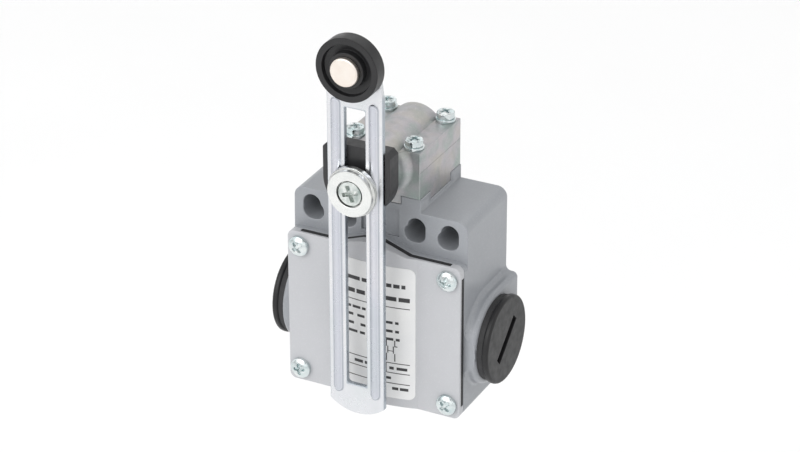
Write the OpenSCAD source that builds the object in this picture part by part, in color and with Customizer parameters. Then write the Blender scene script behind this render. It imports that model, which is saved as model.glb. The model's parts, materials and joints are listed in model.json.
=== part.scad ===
// Limit switch with an adjustable roller lever, drawn as the assembly of its real pieces.
//
// The origin is the middle of the row of fixing holes, on the rear face. +Z is up, towards
// the roller, and -Y is the side of the lid. Depths are counted forward (-Y) from the rear
// face, so a depth of 25 is the plane y = -25. Threads are drawn as plain cylinders.

/* [Housing] */
// Width of the housing
body_w = 53; // [52.8:0.1:54]
// Depth of the housing above the lid
body_d = 25; // [24.8:0.1:25.2]
// Height of the fixing-hole row over the bottom of the housing
row_h = 53.1; // [53:0.1:54]
// Height of the shoulders over the fixing-hole row
shoulder_h = 5.5; // [5.3:0.1:5.6]
// Radius of the shoulders' side edges
shoulder_r = 3; // [2:0.1:3.4]
// Thickness of the side, bottom and top walls
wall = 3.2; // [2.8:0.1:3.4]
// Thickness of the rear wall
rear_wall = 2.5; // [2:0.1:3]
// Height of the neck that carries the head
neck_h = 4; // [3.6:0.1:4.2]

/* [Fixing holes] */
// Diameter of the fixing holes
fix_d = 5.3; // [5:0.1:5.5]
// Distance between the two inner fixing holes
fix_inner = 22; // [21.8:0.1:22.4]
// Distance between the two outer fixing holes
fix_outer = 42; // [41:0.1:42.4]
// How far a screw can be shifted up or down in the front of a hole
fix_shift = 1; // [0.6:0.1:1.2]
// Length of the round bore at the rear of a hole
fix_bore = 8; // [6:0.5:12]

/* [Lid] */
// Height of the lid at its sides
lid_h = 46.9; // [46.6:0.1:47]
// Thickness of the lid's plate
lid_t = 1; // [0.8:0.1:1.3]
// Radius of the lid's corners
lid_r = 2; // [1.5:0.1:2.5]
// Thickness of the seal under the lid
gasket_t = 1.4; // [1:0.1:1.5]
// Height of the raised middle of the lid's top edge
hump_h = 2.8; // [2.2:0.1:3]
// Width of the bulge down the middle of the lid
bulge_w = 27; // [26.8:0.1:28]
// How far the bulge stands out
bulge_h = 2; // [1.5:0.1:2.2]
// Distance between the left and the right lid screws
lid_screw_span = 45.4; // [45:0.1:45.6]
// Height of the lower lid screws over the bottom edge
lid_screw_low = 4.2; // [4:0.1:4.5]
// Height of the upper lid screws over the bottom edge
lid_screw_high = 42.8; // [42.4:0.1:43]

/* [Label] */
// Width of the label
label_w = 26.2; // [24:0.1:26.4]
// Height of the label
label_h = 41; // [38:0.5:41]
// Height of the label's lower edge over the lid's bottom edge
label_low = 2.8; // [2:0.1:3.2]

/* [Cable entries] */
// Diameter of the three threaded entries
entry_d = 20.4; // [20:0.1:20.6]
// Depth of the entries' axes
entry_depth = 14.2; // [14:0.1:14.3]
// Height of the side entries over the bottom
entry_h = 19.6; // [19.4:0.1:20]
// Width over the two side bosses
boss_span = 60; // [59:0.1:61]
// Radius of a side boss at its face
boss_r = 13.5; // [13.2:0.1:13.6]
// Diameter of a blanking plug's head
plug_d = 25.4; // [25:0.1:26]
// Distance from a boss to the front of a blanking plug
plug_t = 3.5; // [3.2:0.1:4]

/* [Head] */
// Width of the head
head_w = 24.1; // [24:0.1:24.6]
// Height of the head's flat sides
head_h = 13.8; // [13.6:0.1:14]
// Height of the shaft's axis over the fixing-hole row
shaft_h = 16.6; // [16.5:0.1:16.7]
// Radius of the round barrel along the top of the head
barrel_r = 7.9; // [7.7:0.1:8.1]
// Depth of the barrel's front face, where it stands out as a nose
nose_depth = 32.6; // [32:0.1:32.6]
// Radius of the operating shaft
shaft_r = 4; // [3.9:0.1:4]

/* [Lever] */
// Width of the plastic hub
hub_w = 20; // [19.8:0.1:20.4]
// Height of the hub over the shaft's axis
hub_h = 11.8; // [11.4:0.1:12.2]
// Width of the steel arm
arm_w = 16.6; // [16.4:0.1:16.6]
// Thickness of the steel arm
arm_t = 1.5; // [1.2:0.1:1.5]
// Width of the arm's slot
slot_w = 6.2; // [6:0.1:6.4]
// Length of the arm's slot
slot_len = 83.8; // [82:0.1:84]
// Width of the arm's two ribs
rib_w = 2.6; // [2.4:0.1:2.8]
// Height of the arm's two ribs
rib_h = 0.6; // [0.4:0.1:0.6]
// Distance from the shaft's axis to the roller's axis
lever_len = 36.4; // [36.2:0.1:37]
// Distance from the shaft's axis down to the arm's lower end
tail_len = 69.3; // [69.1:0.1:70.6]
// Radius of the clamping disc
disc_r = 7.2; // [7:0.1:7.4]
// Radius of the roller
roller_r = 9.1; // [8.5:0.1:9.3]
// Width of the roller
roller_w = 4.3; // [4:0.1:4.5]

/* [Contacts] */
// How far the plunger and the contacts travel
travel = 2.5; // [2:0.1:2.5]
// Height of the contact block
block_h = 28; // [27.8:0.1:28.2]
// Width of the contact block
block_w = 28; // [27.8:0.1:28.4]

/* [Hidden] */
$fn = 64;

// A cut runs this much past the face that it opens in
over = 1;

// Heights of the housing
bottom_z = -row_h;
lid_top_z = bottom_z + lid_h;
neck_z = shoulder_h + neck_h;

// Depths of the layers on the front
flange_depth = 27;
gasket_depth = flange_depth + gasket_t;
lid_depth = gasket_depth + lid_t;
bulge_depth = lid_depth + bulge_h;

// The bulge is an arc over its width
bulge_r = (pow(bulge_w / 2, 2) + pow(bulge_h, 2)) / (2 * bulge_h);
label_t = 0.15;
label_r = 2;

// Width of the feet under the lid's corners
foot_w = 3.6;

// The raised middle of the lid's top edge
hump_foot_w = 21.6;
hump_top_w = 6;

// Screws: radii of shanks, of the holes that they cut their thread in, and of clear holes
shank_r = 1.45;
tapped_r = 1.5;
clear_r = 1.7;
pillar_r = 3.8;
post_r = 3.4;
lid_screw_zs = [bottom_z + lid_screw_low, bottom_z + lid_screw_high];

// Cable entries
entry_r = entry_d / 2;
entry_z = bottom_z + entry_h;
entry_end_x = 20.5;
stem_x = entry_end_x + 5.5;
collar_r = 12.4;
boss_x = boss_span / 2;
boss_blend = 1.5;
seal_t = 1.6;
plug_edge = 0.8;
plug_groove = 0.4;
plug_slot = [14, 2.5, 1.7];
plug_slot_angle = 41.5;
plug_seal_r = 12.2;

// Head
head_top_z = neck_z + head_h;
neck_seal_r = 6.4;
recess_w = 11.6;
tab_w = 12.6;
tab_h = 2.4;
tab_t = 2.5;
head_mid = body_d / 2;
barrel_z = shaft_h + 1.9;
nose_r = 7;
nose_foot = 2.4;
neck_w = head_w + 0.6;
head_screw_x = 8.9;
head_screw_span = 19.2;
head_screw_low_z = 4.8;
head_washer = [2.8, 0.9];
head_screw = [2.5, 2.1];
chamber_r = 5.9;
chamber = [5, 20];
bush_r = 5.2;
seal_r = 5.8;
seal_depth = 29.5;
running = 0.05;

// Plunger: its axis lies under the cam
plunger_depth = 13;
plunger_r = 3.9;
pocket_r = 6.1;
pocket_z = -0.5;
cam_r = 5.3;
cam_flat = 4.6;
plunger_top_z = shaft_h - cam_r - 0.5;
plunger_collar_z = -2.5;

// Lever: depths from the hub's back to the front of the pin
hub_depth = 33.4;
hub_arc_z = shaft_h + 1.8;
hub_edge = 1.3;
floor_depth = 37.75;
wing_depth = 38.8;
wing_gap = 0.1;
arm_depth = floor_depth + running;
arm_front = arm_depth + arm_t;
rib_front = arm_front + rib_h;
disc_rear = rib_front + running;
disc_front = 42.85;
disc_step = [6.7, 41.5];
screw_face_r = 3.45;
disc_recess = [3.85, 2.2];
roller_rear = arm_front + 0.15;
roller_front = roller_rear + roller_w;
pin_front = 45.5;
pin_r = 2.5;
pin_head = [4.05, 1.5];
roller_z = shaft_h + lever_len;
tail_z = shaft_h - tail_len;
tail_r = 12.5;
slot_z = tail_z + 9;
arm_end_r = 7;
taper_h = 9.1;
taper_z = roller_z - taper_h;
arm_taper = acos(arm_end_r / norm([arm_w / 2, taper_h])) - atan2(taper_h, arm_w / 2);
rib_x = 5.65;
rib_z = [tail_z + 5.9, roller_z - 10.5];

// Contact block and what it holds
block_top_z = -12;
block_z = block_top_z - block_h;
block_depths = [5, 23];
carrier = [7.6, 9.6, 18.5];
carrier_top_z = block_top_z - 1;
carrier_gap = 0.2;
bridge = [20, 4, 0.8];
bridge_room = [23, 6];
closed_z = carrier_top_z - 8.25;
open_z = carrier_top_z - 16.05;
contact_x = 8.5;
contact_r = 1.4;
contact_t = 0.6;
touch = 0.05;
strip_t = 0.8;
strip_w = 4.5;
closed_strip_z = closed_z + bridge[2] + 2 * contact_t + touch;
open_strip_z = open_z - 2 * contact_t - touch - travel - strip_t;
terminal_x = 9;
terminal_drop = 2.6;
terminal_plate = [6, 5];
block_screw_x = 11.8;
block_screw_z = -26;
earth_x = 15.5;
earth_z = -46.2;
earth_depth = 6;

// ---- helpers ----

// A 2-D outline in X and Z, made solid between two depths
module slab(rear, front) {
  translate([0, -rear, 0]) rotate([90, 0, 0]) linear_extrude(front - rear) children();
}

// A round rod along Y between two depths
module rod(r, rear, front, x = 0, z = 0) {
  translate([x, -rear, z]) rotate([90, 0, 0]) cylinder(r = r, h = front - rear);
}

// A profile of radius and depth, turned about the axis along Y through x and z
module turned(x = 0, z = 0) {
  translate([x, 0, z]) rotate([90, 0, 0]) rotate_extrude() children();
}

// A ring along Y between two depths
module ring(r_in, r_out, rear, front, x = 0, z = 0) {
  difference() {
    rod(r_out, rear, front, x, z);
    rod(r_in, rear - over, front + over, x, z);
  }
}

// A rectangle about x = 0 from z0 to z1 whose lower and upper corners have their own radii
module rounded_block(w, z0, z1, r_low, r_high) {
  translate([-w / 2, z0 + r_low]) square([w, z1 - z0 - r_low - r_high]);
  translate([-w / 2 + r_low, z0]) square([w - 2 * r_low, r_low]);
  translate([-w / 2 + r_high, z1 - r_high]) square([w - 2 * r_high, r_high]);
  for (side = [-1, 1]) {
    translate([side * (w / 2 - r_low), z0 + r_low]) circle(r_low);
    translate([side * (w / 2 - r_high), z1 - r_high]) circle(r_high);
  }
}

// The raised middle of the lid's top edge, shrunk by an inset
module hump(inset) {
  foot = hump_foot_w / 2;
  top = hump_top_w / 2;
  high = lid_top_z + hump_h - inset;
  polygon([[-foot, lid_top_z - wall], [foot, lid_top_z - wall], [foot, lid_top_z - inset],
    [top, high], [-top, high], [-foot, lid_top_z - inset]]);
}

module lid_outline() {
  rounded_block(body_w, bottom_z, lid_top_z, lid_r, lid_r);
  hump(0);
}

// The lid's four corner feet, which stand on the housing beside the seal
module corner_feet(grow) {
  for (side = [-1, 1]) for (z = [bottom_z + foot_w / 2, lid_top_z - foot_w / 2])
    translate([side * (body_w - foot_w) / 2, z]) square(foot_w + 2 * grow, center = true);
}

module cavity_outline() {
  rounded_block(body_w - 2 * wall, bottom_z + wall, lid_top_z - wall + 0.2, 1, 1);
}

// The seal lies just inside the lid's edge
module gasket_outline() {
  inset = 0.1;
  rounded_block(body_w - 2 * inset, bottom_z + inset, lid_top_z - inset, lid_r, lid_r);
  hump(inset);
}

// A cross recess that goes in from z = 0
module cross_drive(size, depth) {
  for (turn = [0, 90])
    rotate(turn) translate([-size / 2, -size / 8, -depth]) cube([size, size / 4, depth + over]);
  rotate(45) translate([-size / 5, -size / 5, -depth]) cube([size * 0.4, size * 0.4, depth + over]);
}

// A pan-head screw that stands on z = 0 with its shank below. The radius of its domed top is
// given as a multiple of the head's radius
module pan_screw(head_r, head_h, length, dome = 1.6) {
  difference() {
    rotate_extrude() intersection() {
      square([head_r, head_h]);
      translate([0, head_h - head_r * dome]) circle(head_r * dome);
    }
    translate([0, 0, head_h]) cross_drive(head_r * 1.15, head_h * 0.6);
  }
  translate([0, 0, -length]) cylinder(r = shank_r, h = length);
}

// The same screw, driven in from the front at a depth
module front_screw(x, z, depth, head_r, head_h, length, turn = 0) {
  translate([x, -depth, z]) rotate([90, 0, 0]) rotate(turn) pan_screw(head_r, head_h, length);
}

// A helical spring of round wire that stands on z = 0
module coil(radius, wire, turns, height) {
  sides = 6;
  steps = turns * 14;
  rise = height - 2 * wire;
  points = [for (i = [0:steps]) for (j = [0:sides - 1])
    let (a = 360 * turns * i / steps, t = 360 * j / sides, r = radius + wire * cos(t))
    [r * cos(a), r * sin(a), wire + rise * i / steps + wire * sin(t)]];
  skin = [for (i = [0:steps - 1]) for (j = [0:sides - 1])
    let (k = (j + 1) % sides)
    [i * sides + j, (i + 1) * sides + j, (i + 1) * sides + k, i * sides + k]];
  first = [for (j = [0:sides - 1]) j];
  last = [for (j = [sides - 1:-1:0]) steps * sides + j];
  polyhedron(points, concat(skin, [first], [last]), convexity = 10);
}

// ---- housing, lid and seals ----

// One fixing hole: a round bore at the rear, and an angled slot in front of it that lets
// the screw shift up and down and towards the middle
module fixing_hole(side, span) {
  x = side * span / 2;
  r = fix_d / 2;
  rod(r, -over, body_d + over, x, 0);
  slab(fix_bore, body_d + over) {
    for (z = [-fix_shift, fix_shift]) translate([x, z]) circle(r);
    translate([x - r, -fix_shift]) square([2 * r, 2 * fix_shift]);
    translate([x - side * fix_shift, -fix_shift]) circle(r);
    translate([x - side * fix_shift / 2 - fix_shift / 2, -fix_shift - r]) square([fix_shift, 2 * r]);
  }
}

// Section of a side boss over the housing's side: a blended foot and a rounded edge
module boss_section() {
  foot = body_w / 2 - over;
  b = boss_blend;
  square([boss_r, 0.01 + boss_x - foot - b]);
  square([boss_r - b, boss_x - foot]);
  translate([boss_r - b, boss_x - foot - b]) circle(b);
  difference() {
    square([boss_r + b, over + b]);
    translate([boss_r + b, over + b]) circle(b);
  }
}

// A side boss, drawn for the right side: round in front and straight back to the rear face
module side_boss() {
  foot = body_w / 2 - over;
  translate([foot, -entry_depth, entry_z]) rotate([0, 90, 0]) rotate_extrude() boss_section();
  for (up = [0, 1])
    translate([foot, -entry_depth, entry_z]) rotate([-90, 0, 0]) rotate(-90)
      mirror([up, 0, 0]) linear_extrude(entry_depth) boss_section();
}

module housing_outside() {
  slab(0, body_d) rounded_block(body_w, bottom_z, shoulder_h, lid_r, shoulder_r);
  slab(body_d - over, flange_depth) lid_outline();
  translate([-neck_w / 2, -body_d, 0]) cube([neck_w, body_d, neck_z]);
  intersection() {
    translate([-2 * boss_x, -flange_depth, bottom_z]) cube([4 * boss_x, flange_depth, row_h]);
    union() {
      side_boss();
      mirror([1, 0, 0]) side_boss();
    }
  }
}

// The hollow for the contacts, with the pillars and collars left standing in it
module housing_cavity() {
  difference() {
    slab(rear_wall, flange_depth + over) cavity_outline();
    for (side = [-1, 1]) {
      for (z = lid_screw_zs) rod(pillar_r, 0, flange_depth, side * lid_screw_span / 2, z);
      rod(post_r, 0, block_depths[0], side * block_screw_x, block_screw_z);
      translate([side * boss_x, -entry_depth, entry_z]) rotate([0, -side * 90, 0])
        cylinder(r = collar_r, h = boss_x - entry_end_x);
    }
    translate([0, -entry_depth, bottom_z]) cylinder(r = collar_r, h = 8);
    rod(post_r, 0, earth_depth, earth_x, earth_z);
  }
}

// The head's four tabs, which key into notches in the neck: grown all round by a clearance,
// and carried on outwards
module tab_blocks(grow, out) {
  w = tab_w + 2 * grow;
  for (turn = [0:90:270]) {
    half = (turn % 180 == 0 ? head_w : body_d) / 2;
    translate([0, -head_mid, neck_z - tab_h - grow]) rotate(turn)
      translate([half - tab_t - grow, -w / 2, 0]) cube([tab_t + grow + out, w, tab_h + over + grow]);
  }
}

module housing() color("silver") difference() {
  housing_outside();
  housing_cavity();
  for (side = [-1, 1]) {
    fixing_hole(side, fix_inner);
    fixing_hole(side, fix_outer);
    for (z = lid_screw_zs) rod(tapped_r, 15, flange_depth + over, side * lid_screw_span / 2, z);
    rod(tapped_r, 1, block_depths[0] + over, side * block_screw_x, block_screw_z);
    translate([side * (boss_x + over), -entry_depth, entry_z]) rotate([0, -side * 90, 0])
      cylinder(r = entry_r, h = boss_x - entry_end_x + 2 * over);
    for (end = [-1, 1])
      translate([side * head_screw_x, -head_mid + end * head_screw_span / 2, head_screw_low_z - 0.3])
        cylinder(r = tapped_r, h = neck_z);
  }
  translate([0, -entry_depth, bottom_z - over]) cylinder(r = entry_r, h = 10);
  rod(tapped_r, 1, earth_depth + over, earth_x, earth_z);
  translate([0, -plunger_depth, pocket_z - over])
    cylinder(r = plunger_r + running, h = neck_z - pocket_z + 2 * over);
  translate([0, -plunger_depth, lid_top_z - 2 * wall])
    cylinder(r = pocket_r, h = pocket_z - lid_top_z + 2 * wall);
  translate([0, -plunger_depth, neck_z - gasket_t / 2]) cylinder(r = neck_seal_r + 0.1, h = over);
  tab_blocks(running, over);
  slab(body_d - 0.8, body_d + over)
    translate([-recess_w / 2, lid_top_z + hump_h + 0.2])
      square([recess_w, shoulder_h - lid_top_z - hump_h - 0.5]);
}

module lid() color("gainsboro") difference() {
  union() {
    slab(gasket_depth, lid_depth) lid_outline();
    slab(flange_depth, lid_depth) intersection() {
      lid_outline();
      corner_feet(0);
    }
    intersection() {
      translate([0, -bulge_depth + bulge_r, bottom_z])
        cylinder(r = bulge_r, h = lid_h + hump_h, $fn = 160);
      slab(gasket_depth, bulge_depth + over) intersection() {
        lid_outline();
        translate([-bulge_w / 2, bottom_z]) square([bulge_w, lid_h + hump_h]);
      }
    }
  }
  for (side = [-1, 1]) for (z = lid_screw_zs)
    rod(clear_r, flange_depth - over, lid_depth + over, side * lid_screw_span / 2, z);
}

module lid_gasket() color([0.1, 0.1, 0.1]) slab(flange_depth, gasket_depth) difference() {
  gasket_outline();
  corner_feet(running);
  difference() {
    cavity_outline();
    for (side = [-1, 1]) for (z = lid_screw_zs)
      translate([side * lid_screw_span / 2, z]) circle(pillar_r);
  }
  for (side = [-1, 1]) for (z = lid_screw_zs)
    translate([side * lid_screw_span / 2, z]) circle(clear_r);
}

module lid_screws() color("lightsteelblue") {
  for (side = [-1, 1]) for (k = [0, 1]) {
    turn = 25 + 20 * side + 35 * k;
    front_screw(side * lid_screw_span / 2, lid_screw_zs[k], lid_depth, 3, 2.1, 11, turn);
  }
}

module label() color("white") intersection() {
  translate([0, -bulge_depth + bulge_r, bottom_z]) difference() {
    cylinder(r = bulge_r + label_t, h = lid_h, $fn = 160);
    translate([0, 0, -over]) cylinder(r = bulge_r, h = lid_h + 2 * over, $fn = 160);
  }
  slab(gasket_depth, bulge_depth + over)
    rounded_block(label_w, bottom_z + label_low, bottom_z + label_low + label_h, label_r, label_r);
}

// A blanking plug for the right side: head, threaded stem and screwdriver slot
module plug() translate([0, -entry_depth, entry_z]) difference() {
  rotate([0, 90, 0]) {
    r = plug_d / 2;
    translate([0, 0, boss_x]) rotate_extrude() {
      polygon([[0, seal_t], [r - plug_groove, seal_t], [r, seal_t + plug_groove],
        [r, plug_t - plug_edge], [0, plug_t - plug_edge]]);
      translate([0, seal_t]) square([r - plug_edge, plug_t - seal_t]);
      translate([r - plug_edge, plug_t - plug_edge]) circle(plug_edge);
    }
    translate([0, 0, stem_x]) cylinder(r = entry_r - 0.1, h = boss_x - stem_x + seal_t + 0.2);
  }
  translate([boss_x + plug_t, 0, 0]) rotate([plug_slot_angle, 0, 0])
    cube([2 * plug_slot[2], plug_slot[0], plug_slot[1]], center = true);
}

module left_plug() color([0.15, 0.15, 0.15]) mirror([1, 0, 0]) plug();
module right_plug() color([0.15, 0.15, 0.15]) plug();

module plug_seals() color([0.08, 0.08, 0.08]) {
  for (side = [-1, 1])
    translate([side * boss_x, -entry_depth, entry_z]) rotate([0, side * 90, 0]) difference() {
      cylinder(r = plug_seal_r, h = seal_t);
      translate([0, 0, -over]) cylinder(r = entry_r + 0.1, h = seal_t + 2 * over);
    }
}

// ---- head ----

// Radius and depth of the nose's filleted foot on the head's front face
module nose_foot_section() difference() {
  translate([0, body_d - over]) square([barrel_r + nose_foot, nose_foot + over]);
  translate([barrel_r + nose_foot, body_d + nose_foot]) circle(nose_foot);
}

module head() color([0.72, 0.7, 0.68]) difference() {
  union() {
    translate([-head_w / 2, -body_d, neck_z]) cube([head_w, body_d, head_h]);
    rod(barrel_r, 2, nose_depth, 0, barrel_z);
    rod(nose_r, body_d - over, nose_depth, 0, shaft_h);
    intersection() {
      turned(0, barrel_z) nose_foot_section();
      translate([-head_w / 2, -nose_depth, neck_z]) cube([head_w, nose_depth, head_h]);
    }
    tab_blocks(0, 0);
  }
  rod(chamber_r, chamber[0], chamber[1], 0, shaft_h);
  rod(shaft_r - 1 + running, 3, chamber[0] + over, 0, shaft_h);
  rod(bush_r, chamber[1] - over, seal_depth + over, 0, shaft_h);
  rod(seal_r, seal_depth, nose_depth + over, 0, shaft_h);
  translate([0, -plunger_depth, neck_z - tab_h - over])
    cylinder(r = plunger_r + running, h = shaft_h - neck_z + tab_h);
  for (side = [-1, 1]) for (end = [-1, 1])
    translate([side * head_screw_x, -head_mid + end * head_screw_span / 2, 0]) {
      translate([0, 0, neck_z - tab_h - over]) cylinder(r = clear_r, h = head_h + tab_h + 2 * over);
      translate([0, 0, head_top_z]) cylinder(r = head_washer[0] + 0.1, h = barrel_r);
    }
}

module head_gasket() color([0.1, 0.1, 0.1])
  translate([0, -plunger_depth, neck_z - gasket_t / 2]) difference() {
    cylinder(r = neck_seal_r, h = gasket_t / 2);
    translate([0, 0, -over]) cylinder(r = plunger_r + 1, h = gasket_t + over);
  }

module head_screws() color("lightsteelblue") {
  top_z = head_top_z + head_washer[1];
  for (side = [-1, 1]) for (end = [-1, 1])
    translate([side * head_screw_x, -head_mid + end * head_screw_span / 2, top_z])
      rotate(20 * side + 35 * end)
        pan_screw(head_screw[0], head_screw[1], top_z - head_screw_low_z, 3);
}

module head_washers() color("lightgray") {
  for (side = [-1, 1]) for (end = [-1, 1])
    translate([side * head_screw_x, -head_mid + end * head_screw_span / 2, head_top_z]) difference() {
      cylinder(r = head_washer[0], h = head_washer[1]);
      translate([0, 0, -over]) cylinder(r = clear_r, h = head_washer[1] + 2 * over);
    }
}

module shaft_bush() color("goldenrod")
  ring(shaft_r + running, bush_r - 0.02, chamber[1], seal_depth, 0, shaft_h);

module shaft_seal() color([0.12, 0.12, 0.12])
  ring(shaft_r + running, seal_r - 0.02, seal_depth, nose_depth - 0.4, 0, shaft_h);

module hub_washer() color("white")
  ring(shaft_r + running, 7, nose_depth, nose_depth + 0.7, 0, shaft_h);

// ---- shaft, hub and lever ----

module operating_shaft() color("lightgray") difference() {
  union() {
    rod(shaft_r, chamber[0] + 0.2, 37, 0, shaft_h);
    rod(shaft_r - 1, 3.3, chamber[0] + over, 0, shaft_h);
  }
  ring(shaft_r - 0.6, shaft_r + over, 6.2, 7, 0, shaft_h);
  rod(pin_r, 27, 38, 0, shaft_h);
}

// The cam has a flat over the plunger when the lever stands at rest
module shaft_cam() color("darkgray") difference() {
  ring(shaft_r, cam_r, 8, 18, 0, shaft_h);
  translate([-cam_r, -19, shaft_h - cam_flat - 2]) cube([2 * cam_r, 12, 2]);
}

module shaft_clip() color("dimgray") difference() {
  ring(shaft_r - 0.6, 5.2, 6.3, 6.9, 0, shaft_h);
  translate([-2, -8, shaft_h]) cube([4, 3, 7]);
}

// Straight sides with cut corners over a round foot
module hub_outline() {
  half = hub_w / 2;
  top = shaft_h + hub_h;
  translate([0, hub_arc_z]) circle(half);
  polygon([[-half, hub_arc_z], [half, hub_arc_z], [half, top - hub_edge], [half - hub_edge, top],
    [hub_edge - half, top], [-half, top - hub_edge]]);
}

module lever_hub() color([0.16, 0.16, 0.16]) difference() {
  union() {
    slab(hub_depth, floor_depth) hub_outline();
    slab(floor_depth, wing_depth) difference() {
      hub_outline();
      translate([-arm_w / 2 - wing_gap, shaft_h - hub_w]) square([arm_w + 2 * wing_gap, 2 * hub_w]);
    }
  }
  rod(shaft_r, hub_depth - over, 37, 0, shaft_h);
  rod(pin_r + 0.1, 36, floor_depth + over, 0, shaft_h);
}

module clamp_disc() color("whitesmoke") difference() {
  turned(0, shaft_h) polygon([[0, disc_rear], [disc_r, disc_rear], [disc_r, disc_step[1] - 0.2],
    [disc_r - 0.2, disc_step[1]], [disc_step[0], disc_step[1]], [disc_step[0], disc_front - 0.2],
    [disc_step[0] - 0.2, disc_front], [0, disc_front]]);
  rod(disc_recess[0], disc_front - disc_recess[1], disc_front + over, 0, shaft_h);
  rod(pin_r + 0.1, disc_rear - over, disc_front, 0, shaft_h);
}

module clamp_screw() color("lightsteelblue") difference() {
  union() {
    rod(pin_r - 0.05, 28, disc_front - disc_recess[1], 0, shaft_h);
    rod(screw_face_r, disc_front - disc_recess[1], disc_front - 0.3, 0, shaft_h);
  }
  translate([0, -disc_front + 0.3, shaft_h]) rotate([90, 0, 0]) rotate(20) cross_drive(4.8, 1.5);
}

// The strip's outline: an arc at the foot, straight sides and a taper to the roller's end
module arm_outline() {
  half = arm_w / 2;
  straight_z = tail_z + tail_r - sqrt(pow(tail_r, 2) - pow(half, 2));
  intersection() {
    translate([-half, tail_z]) square([arm_w, taper_z - tail_z]);
    union() {
      translate([0, tail_z + tail_r]) circle(tail_r, $fn = 96);
      translate([-half, straight_z]) square([arm_w, taper_z - straight_z]);
    }
  }
  end_x = arm_end_r * cos(arm_taper);
  end_z = roller_z + arm_end_r * sin(arm_taper);
  polygon([[-half, taper_z], [half, taper_z], [end_x, end_z], [-end_x, end_z]]);
  translate([0, roller_z]) circle(arm_end_r);
}

// The rounded crest of a rib between two depths, when its top stands at a given depth
module rib(side, top_depth, rear, front) {
  r = (pow(rib_w / 2, 2) + pow(rib_h, 2)) / (2 * rib_h);
  end_r = rib_w / 2 + 0.2;
  intersection() {
    translate([side * rib_x, r - top_depth, rib_z[0] - over])
      cylinder(r = r, h = rib_z[1] - rib_z[0] + 2 * over);
    slab(rear, front) translate([side * rib_x, 0]) {
      for (z = [rib_z[0] + end_r, rib_z[1] - end_r]) translate([0, z]) circle(end_r);
      translate([-end_r, rib_z[0] + end_r]) square([2 * end_r, rib_z[1] - rib_z[0] - 2 * end_r]);
    }
  }
}

module lever_arm() color("lightgray") difference() {
  union() {
    slab(arm_depth, arm_front) arm_outline();
    for (side = [-1, 1]) rib(side, rib_front, arm_front - 0.3, rib_front + over);
  }
  for (side = [-1, 1]) rib(side, arm_depth + rib_h, arm_depth - over, arm_depth + rib_h + over);
  slab(arm_depth - over, arm_front + over)
    rounded_block(slot_w, slot_z, slot_z + slot_len, 1, 0.6);
  rod(pin_r, arm_depth - over, arm_front + over, 0, roller_z);
}

module roller_pin() color([0.93, 0.89, 0.84]) {
  rod(pin_r, arm_depth - over, pin_front - 0.5, 0, roller_z);
  turned(0, roller_z) polygon([[0, arm_depth - 0.9], [2.9, arm_depth - 0.9], [3.6, arm_depth - 0.4],
    [3.6, arm_depth], [0, arm_depth]]);
  turned(0, roller_z) polygon([[0, pin_front - pin_head[1]], [pin_head[0], pin_front - pin_head[1]],
    [pin_head[0], pin_front - 0.3], [pin_head[0] - 0.3, pin_front], [0, pin_front]]);
}

module roller_washer() color("lightgray")
  ring(pin_r + running, 4.4, arm_front, arm_front + 0.8, 0, roller_z);

// The tyre's rim stands round a dished face with a collar about the pin
module roller() color([0.17, 0.17, 0.17]) turned(0, roller_z) {
  bore = pin_r + running;
  collar = pin_front - pin_head[1] - 0.1;
  edge = 0.15;
  step = arm_front + 0.9;
  polygon([[bore, step], [4.6, step], [4.6, roller_rear],
    [roller_r - edge, roller_rear], [roller_r, roller_rear + edge], [roller_r, roller_front - edge],
    [roller_r - edge, roller_front], [7.3, roller_front], [7.1, roller_front - 1.4],
    [5.2, roller_front - 1.8], [5, collar], [bore, collar]]);
}

// ---- plunger and contacts ----

module head_plunger() color("tan") translate([0, -plunger_depth, 0]) {
  translate([0, 0, plunger_collar_z]) cylinder(r = plunger_r, h = plunger_top_z - plunger_collar_z);
  translate([0, 0, plunger_collar_z]) cylinder(r = 5.8, h = 1.5);
  translate([0, 0, carrier_top_z + touch]) cylinder(r = 2.6, h = plunger_collar_z - carrier_top_z);
}

module plunger_spring() color("silver") translate([0, -plunger_depth, block_top_z])
  coil(4.6, 0.4, 5, plunger_collar_z - block_top_z);

// A terminal's strip and its screw plate: the screw sits over or under the strip
module terminal_place(side, strip_z, up) {
  translate([side * contact_x - strip_w / 2, -block_depths[1], strip_z])
    cube([strip_w, block_depths[1] - 10, strip_t]);
  low = up ? strip_z : strip_z + strip_t - terminal_plate[1];
  translate([side * terminal_x - terminal_plate[0] / 2, -block_depths[1] - strip_t, low])
    cube([terminal_plate[0], strip_t, terminal_plate[1]]);
}

// Height of a terminal's screw
function screw_z(strip_z, up) = strip_z + strip_t / 2 + (up ? 1 : -1) * (terminal_drop + strip_t / 2);

module contact_block() color([0.3, 0.32, 0.3]) difference() {
  translate([-block_w / 2, -block_depths[1], block_z])
    cube([block_w, block_depths[1] - block_depths[0], block_h]);
  room = carrier[0] + 2 * carrier_gap;
  room_y = carrier[1] + 2 * carrier_gap;
  translate([-room / 2, -plunger_depth - room_y / 2, block_z + 1.5]) cube([room, room_y, block_h]);
  for (side = [-1, 1]) {
    terminal_place(side, closed_strip_z, false);
    terminal_place(side, open_strip_z, true);
    rod(tapped_r, 16.5, 24, side * terminal_x, screw_z(closed_strip_z, false));
    rod(tapped_r, 16.5, 24, side * terminal_x, screw_z(open_strip_z, true));
    rod(clear_r, 4, 24, side * block_screw_x, block_screw_z);
  }
  translate([-bridge_room[0] / 2, -plunger_depth - bridge_room[1] / 2, closed_z - travel - 0.35])
    cube([bridge_room[0], bridge_room[1], closed_strip_z - closed_z + travel + 0.35]);
  translate([-bridge_room[0] / 2, -plunger_depth - bridge_room[1] / 2, open_strip_z])
    cube([bridge_room[0], bridge_room[1], open_z + bridge[2] + 0.35 - open_strip_z]);
}

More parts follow.
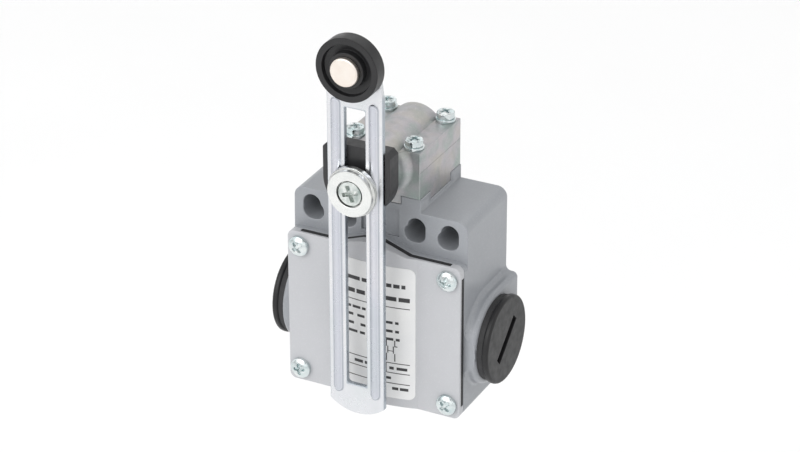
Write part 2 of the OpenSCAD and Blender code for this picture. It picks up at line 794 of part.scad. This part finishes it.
module block_screws() color("lightsteelblue") {
  for (side = [-1, 1])
    front_screw(side * block_screw_x, block_screw_z, block_depths[1], 2.4, 1.6, 21, 15);
}

module terminals() color("goldenrod") {
  for (side = [-1, 1]) {
    difference() {
      terminal_place(side, closed_strip_z, false);
      rod(tapped_r, 20, 25, side * terminal_x, screw_z(closed_strip_z, false));
    }
    difference() {
      terminal_place(side, open_strip_z, true);
      rod(tapped_r, 20, 25, side * terminal_x, screw_z(open_strip_z, true));
    }
    for (z = [closed_strip_z - contact_t, open_strip_z + strip_t])
      translate([side * contact_x, -plunger_depth, z]) cylinder(r = contact_r, h = contact_t);
  }
}

module terminal_screws() color("lightsteelblue") {
  front = block_depths[1] + strip_t;
  for (side = [-1, 1]) {
    front_screw(side * terminal_x, screw_z(closed_strip_z, false), front, 2.5, 1.6, 6.5, 30);
    front_screw(side * terminal_x, screw_z(open_strip_z, true), front, 2.5, 1.6, 6.5, 60);
  }
}

module contact_carrier() color("white") difference() {
  translate([-carrier[0] / 2, -plunger_depth - carrier[1] / 2, carrier_top_z - carrier[2]])
    cube(carrier);
  for (z = [closed_z, open_z])
    translate([-carrier[0], -plunger_depth - bridge[1] / 2, z])
      cube([2 * carrier[0], bridge[1], bridge[2]]);
}

// A moving bridge with its two contacts, on the upper or the lower side
module moving_bridge(z, up) translate([0, -plunger_depth, z]) {
  translate([-bridge[0] / 2, -bridge[1] / 2, 0]) cube(bridge);
  for (side = [-1, 1])
    translate([side * contact_x, 0, up ? bridge[2] : -contact_t]) cylinder(r = contact_r, h = contact_t);
}

module closed_bridge() color("goldenrod") moving_bridge(closed_z, true);
module open_bridge() color("goldenrod") moving_bridge(open_z, false);

module carrier_spring() color("silver") translate([0, -plunger_depth, block_z + 1.5])
  coil(2.6, 0.35, 4, carrier_top_z - carrier[2] - block_z - 1.5);

module earth_screw() color("lightsteelblue")
  front_screw(earth_x, earth_z, earth_depth + 0.8, 2.8, 1.8, 5, 40);

module earth_washer() color("lightgray")
  ring(clear_r, 3.3, earth_depth, earth_depth + 0.8, earth_x, earth_z);

housing();
lid();
lid_gasket();
lid_screws();
label();
left_plug();
right_plug();
plug_seals();
head();
head_gasket();
head_screws();
head_washers();
shaft_bush();
shaft_seal();
hub_washer();
operating_shaft();
shaft_cam();
shaft_clip();
lever_hub();
clamp_disc();
clamp_screw();
lever_arm();
roller_pin();
roller_washer();
roller();
head_plunger();
plunger_spring();
contact_block();
block_screws();
terminals();
terminal_screws();
contact_carrier();
closed_bridge();
open_bridge();
carrier_spring();
earth_screw();
earth_washer();
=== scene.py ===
import json
import math
import bmesh
import bpy
from mathutils import Matrix, Vector
from mathutils.bvhtree import BVHTree

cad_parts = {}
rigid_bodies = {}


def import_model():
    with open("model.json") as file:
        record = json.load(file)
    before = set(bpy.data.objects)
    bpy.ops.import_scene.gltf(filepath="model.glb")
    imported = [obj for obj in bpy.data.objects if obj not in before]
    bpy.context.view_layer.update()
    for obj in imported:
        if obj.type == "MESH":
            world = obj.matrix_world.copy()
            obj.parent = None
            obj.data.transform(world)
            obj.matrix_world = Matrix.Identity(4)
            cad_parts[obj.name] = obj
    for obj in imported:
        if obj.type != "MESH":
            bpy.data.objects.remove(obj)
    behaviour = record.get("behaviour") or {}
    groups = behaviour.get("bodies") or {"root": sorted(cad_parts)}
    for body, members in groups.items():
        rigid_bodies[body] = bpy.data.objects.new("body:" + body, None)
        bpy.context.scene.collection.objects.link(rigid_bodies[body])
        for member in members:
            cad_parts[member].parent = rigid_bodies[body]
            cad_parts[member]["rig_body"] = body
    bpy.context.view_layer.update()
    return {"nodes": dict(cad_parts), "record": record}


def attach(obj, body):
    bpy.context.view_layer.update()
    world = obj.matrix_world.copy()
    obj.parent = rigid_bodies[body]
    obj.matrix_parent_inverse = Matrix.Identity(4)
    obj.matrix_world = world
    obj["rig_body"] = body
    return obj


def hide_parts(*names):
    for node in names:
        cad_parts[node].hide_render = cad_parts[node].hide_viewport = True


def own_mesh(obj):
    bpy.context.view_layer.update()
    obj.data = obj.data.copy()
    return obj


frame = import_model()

CAD = frame["nodes"]
MM = 0.001

# Heights of the shaft's and the roller's axes and of the underside, in millimetres
SHAFT_Z, ROLLER_Z = 16.6, 53.0
BOTTOM_Z = -53.1


# ---------------------------------------------------------------- node helpers

class Nodes:
    """A small helper that builds one procedural material."""

    def __init__(self, name, **inputs):
        self.mat = bpy.data.materials.new(name)
        self.mat.use_nodes = True
        self.tree = self.mat.node_tree
        self.tree.nodes.clear()
        self.out = self.tree.nodes.new("ShaderNodeOutputMaterial")
        self.bsdf = self.tree.nodes.new("ShaderNodeBsdfPrincipled")
        self.link(self.bsdf.outputs[0], self.out.inputs[0])
        for key, value in inputs.items():
            self.bsdf.inputs[key.replace("_", " ")].default_value = value
        self.coord = self.tree.nodes.new("ShaderNodeTexCoord")

    def link(self, a, b):
        self.tree.links.new(a, b)

    def mapped(self, scale):
        """Object coordinates, scaled from metres."""
        m = self.tree.nodes.new("ShaderNodeMapping")
        m.inputs["Scale"].default_value = scale
        self.link(self.coord.outputs["Object"], m.inputs["Vector"])
        return m.outputs[0]

    def noise(self, per_mm=1.0, detail=3.0, rough=0.5, stretch=(1, 1, 1), distort=0.0):
        n = self.tree.nodes.new("ShaderNodeTexNoise")
        n.inputs["Scale"].default_value = 1.0
        n.inputs["Detail"].default_value = detail
        n.inputs["Roughness"].default_value = rough
        n.inputs["Distortion"].default_value = distort
        self.link(self.mapped([1000 * per_mm * s for s in stretch]), n.inputs["Vector"])
        return n.outputs[0]

    def voronoi(self, per_mm=1.0):
        n = self.tree.nodes.new("ShaderNodeTexVoronoi")
        n.inputs["Scale"].default_value = 1.0
        self.link(self.mapped([1000 * per_mm] * 3), n.inputs["Vector"])
        return n.outputs[0]

    def ramp(self, value, stops):
        r = self.tree.nodes.new("ShaderNodeValToRGB")
        e = r.color_ramp.elements
        while len(e) < len(stops):
            e.new(0.5)
        for el, (pos, col) in zip(e, stops):
            el.position = pos
            el.color = (*col, 1)
        self.link(value, r.inputs[0])
        return r.outputs[0]

    def mix(self, fac, a, b, mode="MIX"):
        m = self.tree.nodes.new("ShaderNodeMix")
        m.data_type = "RGBA"
        m.blend_type = mode
        for sock, v in ((m.inputs[0], fac), (m.inputs[6], a), (m.inputs[7], b)):
            if hasattr(v, "is_output"):
                self.link(v, sock)
            elif isinstance(v, (int, float)):
                sock.default_value = v
            else:
                sock.default_value = (*v, 1)
        return m.outputs[2]

    def range(self, value, lo, hi, src=(0.3, 0.7)):
        m = self.tree.nodes.new("ShaderNodeMapRange")
        m.inputs["From Min"].default_value = src[0]
        m.inputs["From Max"].default_value = src[1]
        m.inputs["To Min"].default_value = lo
        m.inputs["To Max"].default_value = hi
        self.link(value, m.inputs["Value"])
        return m.outputs[0]

    def math(self, op, a, b):
        m = self.tree.nodes.new("ShaderNodeMath")
        m.operation = op
        for sock, v in ((m.inputs[0], a), (m.inputs[1], b)):
            if hasattr(v, "is_output"):
                self.link(v, sock)
            else:
                sock.default_value = v
        return m.outputs[0]

    def bump(self, height, distance_mm, strength=1.0, after=None):
        b = self.tree.nodes.new("ShaderNodeBump")
        b.inputs["Strength"].default_value = strength
        b.inputs["Distance"].default_value = distance_mm * MM
        self.link(height, b.inputs["Height"])
        if after is not None:
            self.link(after, b.inputs["Normal"])
        return b.outputs[0]

    def colour(self, v):
        self.link(v, self.bsdf.inputs["Base Color"])

    def rough(self, v):
        self.link(v, self.bsdf.inputs["Roughness"])

    def normal(self, v):
        self.link(v, self.bsdf.inputs["Normal"])


def paint(name, light, dark):
    """Smooth sprayed paint with a faint orange peel."""
    n = Nodes(name, Specular_IOR_Level=0.5)
    cloud = n.noise(0.05, 4, 0.6)
    speck = n.noise(2.2, 2, 0.5)
    base = n.mix(n.range(cloud, 0, 1), dark, light)
    n.colour(n.mix(n.range(speck, 0.0, 0.06, (0.55, 0.75)), base, (1, 1, 1)))
    n.rough(n.range(n.noise(0.6, 3), 0.30, 0.38))
    peel = n.bump(n.noise(0.4, 1, 0.4), 0.014, 0.30)
    n.normal(n.bump(speck, 0.002, 0.25, peel))
    return n.mat


def casting(name, tone=1.0):
    """Bare die-cast metal with cloudy stains, flecks and a fine grain."""
    n = Nodes(name, Metallic=0.86)
    cloud = n.noise(0.09, 5, 0.6, distort=0.6)
    tint = n.ramp(n.noise(0.13, 3, 0.5), [(0.34, (0.38, 0.43, 0.41)), (0.5, (0.48, 0.46, 0.48)),
                                          (0.66, (0.50, 0.48, 0.45))])
    stain = n.mix(n.range(cloud, 0, 0.6, (0.48, 0.72)), tint, (0.24, 0.31, 0.30))
    fleck = n.noise(2.6, 3, 0.6)
    cast = n.mix(n.range(fleck, 0, 0.35, (0.56, 0.74)), stain, (0.76, 0.76, 0.75))
    n.colour(n.mix(1.0, cast, (tone, tone, tone), "MULTIPLY"))
    n.rough(n.range(n.noise(0.5, 4), 0.36, 0.56))
    grain = n.bump(n.noise(1.6, 4, 0.6), 0.05, 0.6)
    n.normal(n.bump(n.voronoi(0.9), 0.02, 0.3, grain))
    return n.mat


def zinc(name, colour, tint, rough=(0.20, 0.34), grain=(1, 1, 1)):
    """Plated or bare metal with a cloudy tint and a fine grain."""
    n = Nodes(name, Metallic=1.0)
    cloud = n.noise(0.30, 4, 0.6)
    streak = n.noise(3.0, 3, 0.6, grain)
    n.colour(n.mix(n.range(cloud, 0, 1), colour, tint))
    n.rough(n.range(streak, rough[0], rough[1]))
    n.normal(n.bump(streak, 0.006, 0.5))
    return n.mat


def turned(name, colour, tint, rough, z):
    """Metal with fine circular marks about the axis along Y at a height z."""
    n = Nodes(name, Metallic=1.0)
    sep = n.tree.nodes.new("ShaderNodeSeparateXYZ")
    n.link(n.coord.outputs["Object"], sep.inputs[0])
    dx = sep.outputs[0]
    dz = n.math("SUBTRACT", sep.outputs[2], z)
    r2 = n.math("ADD", n.math("MULTIPLY", dx, dx), n.math("MULTIPLY", dz, dz))
    r = n.math("MULTIPLY", n.math("SQRT", r2, 0), 5 / MM)
    marks = n.tree.nodes.new("ShaderNodeTexNoise")
    marks.noise_dimensions = "1D"
    marks.inputs["Scale"].default_value = 1.0
    marks.inputs["Detail"].default_value = 2.0
    n.link(r, marks.inputs["W"])
    n.colour(n.mix(n.range(n.noise(0.3, 3), 0, 1), colour, tint))
    n.rough(n.range(marks.outputs[0], rough[0], rough[1]))
    n.normal(n.bump(marks.outputs[0], 0.010, 0.5))
    return n.mat


def plastic(name, colour, worn, rough=(0.36, 0.5), fine=3.0, depth=0.012, spec=0.5):
    """Moulded plastic, rubber, foil or ink with a fine grain and a slight change of tone."""
    n = Nodes(name, Specular_IOR_Level=spec)
    cloud = n.noise(0.12, 3, 0.5)
    grain = n.noise(fine, 2, 0.5)
    base = n.mix(n.range(cloud, 0, 1), colour, worn)
    n.colour(n.mix(n.range(grain, 0, 0.25, (0.6, 0.78)), base, [min(1, c * 2.2) for c in worn]))
    n.rough(n.range(n.noise(0.5, 3), rough[0], rough[1]))
    n.normal(n.bump(grain, depth, 0.5))
    return n.mat


def lever_plating(name):
    """Bright plating with cloudy tints, and painted shade and highlight in bands round the two ribs."""
    # Millimetres: each pair is where a change of tone begins and ends, or the ends of a rib
    rib_x, rib_ends, rib_shade_reach = 5.65, (-45.3, 41.0), 4.0
    slot_bottom, slot_top = (-44.2, -43.8), (40.1, 40.6)
    slot_side, outer_side = (3.15, 3.35), (8.05, 8.25)
    n = Nodes(name, Metallic=0.92)
    sep = n.tree.nodes.new("ShaderNodeSeparateXYZ")
    n.link(n.coord.outputs["Object"], sep.inputs[0])
    cloud = n.noise(0.10, 4, 0.55, (1, 1, 0.35))
    tint = n.ramp(cloud, [(0.36, (0.62, 0.645, 0.66)), (0.50, (0.665, 0.675, 0.70)),
                          (0.64, (0.71, 0.71, 0.72))])
    # Distance from the line down the middle of a rib, in millimetres
    off = n.math("MULTIPLY", n.math("ABSOLUTE", sep.outputs[0], 0), 1 / MM)
    across = n.math("SUBTRACT", off, rib_x)
    height = n.math("MULTIPLY", sep.outputs[2], 1 / MM)
    past = n.math("MAXIMUM", n.math("MAXIMUM", n.math("SUBTRACT", rib_ends[0], height),
                                    n.math("SUBTRACT", height, rib_ends[1])), 0.0)
    away2 = n.math("ADD", n.math("MULTIPLY", across, across), n.math("MULTIPLY", past, past))
    away = n.math("SQRT", away2, 0)
    # Painted shade and highlight round each rib: a slightly darker crest, then a bright line and a dark
    # line where the rounded flanks meet the flat
    rib_shade = n.ramp(n.math("DIVIDE", away, rib_shade_reach),
                  [(0.0, (0.84, 0.85, 0.89)), (0.20, (0.80, 0.81, 0.86)), (0.26, (0.95, 0.96, 0.99)),
                   (0.315, (0.58, 0.61, 0.65)), (0.355, (0.66, 0.68, 0.72)), (0.42, (1.0, 1.0, 1.0))])
    # The painted rib shading is kept to the front face
    front = n.range(sep.outputs[1], 1, 0, (-0.0391, -0.0388))
    face = n.mix(front, tint, n.mix(1.0, tint, rib_shade, "MULTIPLY"))
    # Painted shade: the sheared edges outside and in the slot are painted darker
    in_slot = n.math("MULTIPLY", n.range(height, 0, 1, slot_bottom), n.range(height, 1, 0, slot_top))
    edge_shade = n.math("MAXIMUM", n.range(off, 0, 1, outer_side),
                   n.math("MULTIPLY", n.range(off, 1, 0, slot_side), in_slot))
    n.colour(n.mix(edge_shade, face, (0.40, 0.44, 0.48)))
    n.rough(n.range(n.noise(0.25, 3), 0.24, 0.34))
    n.normal(n.bump(n.noise(0.16, 1, 0.4, (1, 1, 0.3)), 0.012, 0.25))
    return n.mat


M = {
    "body_paint": paint("body_paint", (0.298, 0.311, 0.332), (0.272, 0.285, 0.306)),
    "lid_paint": paint("lid_paint", (0.470, 0.476, 0.496), (0.440, 0.447, 0.466)),
    "head_casting": casting("head_casting"),
    "casting_seam": casting("casting_seam", 0.45),
    "black_rubber": plastic("black_rubber", (0.018, 0.018, 0.019), (0.028, 0.028, 0.03), (0.6, 0.75)),
    "black_plastic": plastic("black_plastic", (0.020, 0.020, 0.021), (0.028, 0.028, 0.030), spec=0.4),
    "plug_plastic": plastic("plug_plastic", (0.010, 0.010, 0.011), (0.016, 0.016, 0.017), spec=0.35),
    "roller_plastic": plastic("roller_plastic", (0.011, 0.011, 0.012), (0.017, 0.017, 0.018),
                              (0.30, 0.44), spec=0.4),
    "label_foil": plastic("label_foil", (0.74, 0.74, 0.735), (0.68, 0.685, 0.69), (0.28, 0.36), 4.0, 0.004),
    "label_ink": plastic("label_ink", (0.022, 0.022, 0.024), (0.04, 0.04, 0.042), (0.4, 0.5), 6.0, 0.003),
    "zinc_screw": zinc("zinc_screw", (0.50, 0.60, 0.61), (0.76, 0.78, 0.78), (0.14, 0.26)),
    "lever_steel": lever_plating("lever_steel"),
    "disc_steel": turned("disc_steel", (0.70, 0.715, 0.705), (0.78, 0.785, 0.77), (0.22, 0.34),
                         SHAFT_Z * MM),
    "socket_steel": zinc("socket_steel", (0.22, 0.28, 0.26), (0.80, 0.82, 0.80), (0.16, 0.28)),
    "pin_steel": turned("pin_steel", (0.80, 0.72, 0.65), (0.85, 0.79, 0.73), (0.32, 0.45),
                        ROLLER_Z * MM),
    "shaft_steel": zinc("shaft_steel", (0.55, 0.56, 0.57), (0.62, 0.62, 0.62), (0.15, 0.25), (1, 0.1, 1)),
    "bearing_brass": zinc("bearing_brass", (0.66, 0.47, 0.20), (0.74, 0.55, 0.26), (0.25, 0.35)),
    "block_plastic": plastic("block_plastic", (0.10, 0.12, 0.13), (0.13, 0.15, 0.16)),
    "white_plastic": plastic("white_plastic", (0.66, 0.65, 0.60), (0.72, 0.71, 0.67)),
    "contact_brass": zinc("contact_brass", (0.70, 0.53, 0.25), (0.80, 0.62, 0.33), (0.25, 0.35)),
    "spring_steel": zinc("spring_steel", (0.45, 0.45, 0.46), (0.55, 0.55, 0.55), (0.2, 0.3)),
}
SLOT = {s["node"]: s["material_slot"] for s in frame["record"]["subparts"]}


def dress(obj, slot):
    obj.data.materials.clear()
    obj.data.materials.append(M[slot])


for node_name, node_obj in CAD.items():
    dress(node_obj, SLOT[node_name])


# ---------------------------------------------------------------- mesh helpers

# Edges shorter than this stay sharp, and a ray to the open air starts this far off an edge (mm)
SHORTEST, RAY_START = 0.2, 0.1
# Edges inside these boxes (mm) stay sharp, because two rounded rims would meet there
KEEP_SHARP = {
    "housing": ((-6.3, -26.0, -3.3), (6.3, -22.0, 5.3)),
    "lever_hub": ((-8.6, -38.75, 28.2), (8.6, -37.8, 28.6)),
}


def mark_outer_edges(bm, limit, keep):
    """Give a bevel weight to convex edges that open air reaches, and keep other sharp ones."""
    layer = bm.edges.layers.float.new("bevel_weight_edge")
    tree = BVHTree.FromBMesh(bm)
    for e in bm.edges:
        if len(e.link_faces) != 2 or e.calc_face_angle(0) < limit:
            continue
        e.smooth = False
        if not e.is_convex or e.calc_length() < SHORTEST * MM:
            continue
        out = (e.link_faces[0].normal + e.link_faces[1].normal).normalized()
        mid = (e.verts[0].co + e.verts[1].co) / 2
        if keep and all(keep[0][i] * MM < mid[i] < keep[1][i] * MM for i in range(3)):
            continue
        if tree.ray_cast(mid + out * RAY_START * MM, out)[0] is None:
            e[layer] = 1.0
            e.smooth = True


# Points closer than these (m) are joined, and faces within this many degrees are merged
WELD, COLLAPSE, FLAT_DEG = 2e-6, 1e-6, 0.4


def softened(node, width, segments, angle=30, outer=False):
    """A copy of a CAD node with its coplanar faces joined and its edges rounded."""
    src = CAD[node]
    me = src.data.copy()
    me.name = "soft_" + node
    bm = bmesh.new()
    bm.from_mesh(me)
    bmesh.ops.remove_doubles(bm, verts=bm.verts, dist=WELD)
    bmesh.ops.dissolve_degenerate(bm, edges=bm.edges, dist=COLLAPSE)
    bmesh.ops.dissolve_limit(bm, angle_limit=math.radians(FLAT_DEG), verts=bm.verts, edges=bm.edges)
    if outer:
        mark_outer_edges(bm, math.radians(angle), KEEP_SHARP.get(node))
    bm.to_mesh(me)
    bm.free()
    obj = bpy.data.objects.new("soft_" + node, me)
    bpy.context.scene.collection.objects.link(obj)
    for p in me.polygons:
        p.use_smooth = True
    bev = obj.modifiers.new("edge", "BEVEL")
    bev.width = width * MM
    bev.segments = segments
    bev.limit_method = "WEIGHT" if outer else "ANGLE"
    bev.angle_limit = math.radians(angle)
    bev.use_clamp_overlap = False
    bev.loop_slide = False
    bev.miter_outer = "MITER_SHARP"
    for a in list(me.attributes):
        if a.name == "custom_normal":
            me.attributes.remove(a)
    even = obj.modifiers.new("even", "WEIGHTED_NORMAL")
    even.mode = "FACE_AREA"
    even.weight = 90
    even.keep_sharp = True
    deps = bpy.context.evaluated_depsgraph_get()
    baked = bpy.data.meshes.new_from_object(obj.evaluated_get(deps))
    obj.modifiers.clear()
    obj.data = baked
    dress(obj, SLOT[node])
    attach(obj, src["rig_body"])
    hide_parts(node)
    return obj


def add_mesh(name, verts, faces, body, material):
    """A new piece from its vertices and faces, on the given body, with the given material."""
    me = bpy.data.meshes.new(name)
    me.from_pydata(verts, [], faces)
    me.validate()
    me.update()
    obj = bpy.data.objects.new(name, me)
    bpy.context.scene.collection.objects.link(obj)
    dress(obj, material)
    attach(obj, body)


# ---------------------------------------------------------------- visual pieces

# Width in mm, segments, smallest angle in degrees, and whether only outer edges are rounded
EDGES = {
    "housing": (0.3, 3, 48, True), "lid": (0.3, 3, 11), "head": (0.16, 2, 40, True),
    "lever_hub": (0.25, 3, 40, True), "lever_arm": (0.14, 2), "head_screws": (0.12, 2),
    "lid_screws": (0.12, 2), "head_washers": (0.12, 2), "clamp_disc": (0.16, 2),
    "clamp_screw": (0.10, 2), "roller": (0.12, 2), "roller_pin": (0.16, 2),
    "left_plug": (0.14, 2), "right_plug": (0.14, 2),
}
SOFT = {node: softened(node, *how) for node, how in EDGES.items()}
dress(SOFT["clamp_screw"], "socket_steel")

# The label's face, in millimetres: an arc about a vertical axis, and the height that the
# printed rows are counted from
ARC_R = 46.71
ARC_Y = -31.55 + ARC_R
ROW_Z = -52.05
# How far the print stands proud of the face and reaches into it, and the length of one step
PRINT_OUT, PRINT_IN, PRINT_STEP = 0.012, -0.05, 0.7


def on_label(x, out):
    """Depth of the label's face at x, raised by out."""
    return ARC_Y - math.sqrt((ARC_R + out) ** 2 - x * x)


def bar(verts, faces, x0, x1, z, height):
    """A printed bar as a thin closed strip that follows the label's arc."""
    steps = max(1, round(abs(x1 - x0) / PRINT_STEP))
    first = len(verts)
    for i in range(steps + 1):
        x = x0 + (x1 - x0) * i / steps
        for out, dz in ((PRINT_OUT, -0.5), (PRINT_OUT, 0.5), (PRINT_IN, 0.5), (PRINT_IN, -0.5)):
            verts.append((x * MM, on_label(x, out) * MM, (ROW_Z + z + dz * height) * MM))
    for i in range(steps):
        a = first + 4 * i
        for k in range(4):
            m = (k + 1) % 4
            faces.append((a + k, a + 4 + k, a + 4 + m, a + m))
    end = first + 4 * steps
    faces.append((first, first + 1, first + 2, first + 3))
    faces.append((end + 3, end + 2, end + 1, end))


def label_print():
    """Plain bars, rules and a pair of contact lines in place of the print."""
    verts, faces = [], []
    rows = [
        (37.0, 1.15, [(-10.8, -7.6), (-6.9, -3.0), (-2.4, -0.9), (0.2, 3.6), (5.0, 6.5), (7.0, 8.8),
                      (9.3, 10.4)]),
        (33.0, 1.3, [(-11.4, -8.0), (-7.4, -4.6), (-4.1, -1.4), (0.3, 4.2), (4.9, 7.9), (8.5, 11.6)]),
        (28.0, 0.8, [(-11.2, -8.4), (-6.9, -5.9), (-5.4, -2.9), (-2.4, -1.2), (1.0, 3.2)]),
        (25.5, 0.8, [(-11.2, -8.9), (-7.2, -5.2), (-3.9, -1.6), (4.6, 6.8), (7.5, 8.5)]),
        (22.8, 0.8, [(-11.2, -9.4), (-7.2, -5.0), (-2.9, -1.3), (4.6, 6.8), (7.5, 8.6)]),
        (20.3, 0.8, [(-11.2, -9.0), (-7.0, -3.9), (-3.1, -1.5), (4.6, 7.0), (7.7, 8.8)]),
        (11.2, 0.9, [(-4.9, -2.2), (-1.6, -0.2), (5.8, 7.1), (7.9, 10.9)]),
        (8.0, 0.8, [(-10.9, -8.4), (3.2, 6.3)]),
        (4.8, 0.9, [(6.6, 8.4), (8.8, 11.2)]),
    ]
    for z, height, words in rows:
        for x0, x1 in words:
            bar(verts, faces, x0, x1, z, height)
    for z in (30.3, 12.8, 9.7, 6.4):
        bar(verts, faces, -11.6, 11.6, z, 0.26)
    for x in (-7.6, 4.9):
        bar(verts, faces, x - 0.13, x + 0.13, 11.25, 2.9)
    for x, z, width, height in ((5.0, 19.0, 0.3, 2.0), (5.0, 14.6, 0.3, 2.4), (5.4, 17.0, 0.3, 2.2),
                                (7.4, 19.0, 0.3, 2.0), (7.4, 14.6, 0.3, 2.4), (7.0, 17.0, 0.3, 2.2),
                                (7.7, 18.1, 0.9, 0.3), (6.2, 16.6, 1.4, 0.2)):
        bar(verts, faces, x - width / 2, x + width / 2, z, height)
    add_mesh("label_print", verts, faces, CAD["label"]["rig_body"], "label_ink")


label_print()


def spring(node):
    """A plain copy of a spring on its body, shown in place of the CAD node."""
    src = CAD[node]
    me = src.data.copy()
    obj = bpy.data.objects.new("coil_" + node, me)
    bpy.context.scene.collection.objects.link(obj)
    dress(obj, SLOT[node])
    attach(obj, src["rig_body"])
    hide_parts(node)
    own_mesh(obj)


spring("plunger_spring")
spring("carrier_spring")


def parting_line():
    """The casting's seam: a fine raised line along both sides of the head."""
    verts, faces = [], []
    z, half, out, sunk, face_x = 17.4, 0.07, 0.035, -0.05, 12.05
    for side in (-1, 1):
        for y0, y1 in ((-24.8, -18.2), (-17.9, -10.4), (-10.1, -0.3)):
            first = len(verts)
            for y in (y0, y1):
                for dx, dz in ((sunk, -half), (out, -half * 0.4), (out, half * 0.4), (sunk, half)):
                    verts.append((side * (face_x + dx) * MM, y * MM, (z + dz) * MM))
            order = ((0, 1, 5, 4), (1, 2, 6, 5), (2, 3, 7, 6), (3, 0, 4, 7), (3, 2, 1, 0), (4, 5, 6, 7))
            for f in order:
                faces.append(tuple(first + k for k in (f if side > 0 else f[::-1])))
    add_mesh("head_parting_line", verts, faces, CAD["head"]["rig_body"], "casting_seam")


parting_line()


# ---------------------------------------------------------------- stage, camera, lights

def area(name, pos, aim, size, power):
    light = bpy.data.lights.new(name, "AREA")
    light.shape = "RECTANGLE"
    light.size, light.size_y = size
    light.energy = power
    obj = bpy.data.objects.new(name, light)
    bpy.context.scene.collection.objects.link(obj)
    obj.location = pos
    obj.rotation_euler = (Vector(aim) - Vector(pos)).to_track_quat("-Z", "Y").to_euler()


def stage():
    """A plain pale floor, a soft room and one soft key light."""
    me = bpy.data.meshes.new("floor")
    # Half its width and its height, in metres: well under the object, so that no shadow shows
    s, z = 9.0, -0.30
    me.from_pydata([(-s, -s, z), (s, -s, z), (s, s, z), (-s, s, z)], [], [(0, 1, 2, 3)])
    floor = bpy.data.objects.new("floor", me)
    bpy.context.scene.collection.objects.link(floor)
    n = Nodes("floor_paper", Roughness=0.9, Specular_IOR_Level=0.1)
    n.colour(n.mix(n.range(n.noise(0.01, 3), 0, 1), (0.95, 0.95, 0.95), (0.96, 0.96, 0.96)))
    floor.data.materials.append(n.mat)

    # A soft white room with some darker patches, which give the bare metal its contrast
    world = bpy.data.worlds.new("studio")
    bpy.context.scene.world = world
    world.use_nodes = True
    t = world.node_tree
    bg = t.nodes["Background"]
    co = t.nodes.new("ShaderNodeTexCoord")
    patches = t.nodes.new("ShaderNodeTexNoise")
    patches.inputs["Scale"].default_value = 2.6
    patches.inputs["Detail"].default_value = 1.0
    t.links.new(co.outputs["Generated"], patches.inputs["Vector"])
    m = t.nodes.new("ShaderNodeMapRange")
    m.inputs["From Min"].default_value = 0.40
    m.inputs["From Max"].default_value = 0.50
    m.inputs["To Min"].default_value = 0.38
    m.inputs["To Max"].default_value = 1.27
    t.links.new(patches.outputs[0], m.inputs["Value"])
    t.links.new(m.outputs[0], bg.inputs["Strength"])
    bg.inputs["Color"].default_value = (1, 1, 1, 1)

    area("key", (-0.25, -0.90, 0.60), (0, -0.01, 0), (0.8, 0.8), 4.6)


def camera():
    """The camera at the photograph's angle, as fitted to it: degrees, millimetres, pixels."""
    az, el, roll = math.radians(26.884), math.radians(27.570), math.radians(-0.0995)
    back = Vector((math.sin(az) * math.cos(el), -math.cos(az) * math.cos(el), math.sin(el)))
    right = Vector((math.cos(az), math.sin(az), 0))
    up = back.cross(right)
    right, up = (math.cos(roll) * right + math.sin(roll) * up,
                 -math.sin(roll) * right + math.cos(roll) * up)
    to_right, upward, distance = -5.965, 35.775, 884.716
    pos = (right * to_right + up * upward + back * distance) * MM
    pos.z += BOTTOM_Z * MM
    cam = bpy.data.cameras.new("camera")
    focal_px, width_px, sensor = 3092.51, 800, 36
    cam.sensor_width = sensor
    cam.lens = focal_px * sensor / width_px
    cam.clip_start = 0.01
    cam.clip_end = 20
    obj = bpy.data.objects.new("camera", cam)
    bpy.context.scene.collection.objects.link(obj)
    rot = Matrix((right, up, back)).transposed().to_4x4()
    obj.matrix_world = Matrix.Translation(pos) @ rot
    bpy.context.scene.camera = obj


stage()
camera()
view = bpy.context.scene.view_settings
view.view_transform = "Standard"
view.look = "None"
